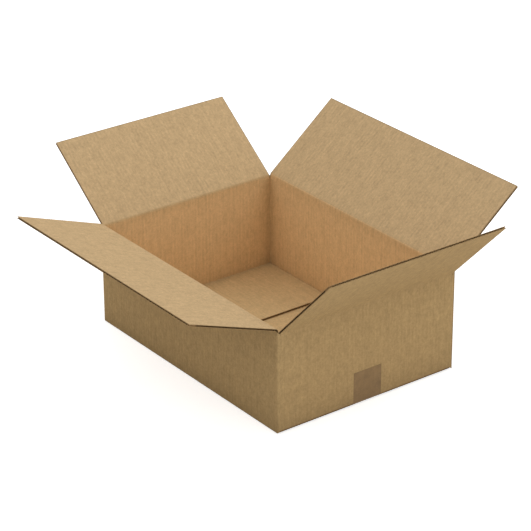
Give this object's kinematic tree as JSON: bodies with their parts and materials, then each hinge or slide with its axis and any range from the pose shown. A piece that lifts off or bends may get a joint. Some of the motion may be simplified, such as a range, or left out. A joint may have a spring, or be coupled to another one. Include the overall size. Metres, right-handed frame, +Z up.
{
  "type": "open slotted cardboard box",
  "caption": "Shallow erected shipping box of brown corrugated board with a taped bottom seam and hinged top flaps that stand open, to be packed and shut.",
  "frame": {"origin": "middle of the bottom seam, on the underside of the tape that the box stands on", "axes": "+X along the length towards the right end wall, +Y across the width towards the back wall, +Z up"},
  "size_m": [0.6648, 0.5791, 0.2679],
  "materials": {
    "kraft_board": "matt brown kraft liner",
    "packing_tape": "satin brown film"
  },
  "bodies": {
    "box": {"box_body": "kraft_board", "bottom_tape": "packing_tape"},
    "front_lid": {"front_flap": "kraft_board"},
    "back_lid": {"back_flap": "kraft_board"},
    "left_lid": {"left_flap": "kraft_board"},
    "right_lid": {"right_flap": "kraft_board"}
  },
  "joints": [
    {"name": "front_crease", "type": "hinge", "parent": "box", "child": "front_lid", "pos_m": [0, -0.15815, 0.15885], "axis": [1, 0, 0], "range_deg": [-160, 95]},
    {"name": "back_crease", "type": "hinge", "parent": "box", "child": "back_lid", "pos_m": [0, 0.15815, 0.15885], "axis": [-1, 0, 0], "range_deg": [-141, 114]},
    {"name": "left_crease", "type": "hinge", "parent": "box", "child": "left_lid", "pos_m": [-0.21815, 0, 0.15555], "axis": [0, -1, 0], "range_deg": [-143, 112]},
    {"name": "right_crease", "type": "hinge", "parent": "box", "child": "right_lid", "pos_m": [0.21815, 0, 0.15555], "axis": [0, 1, 0], "range_deg": [-134, 121]}
  ]
}
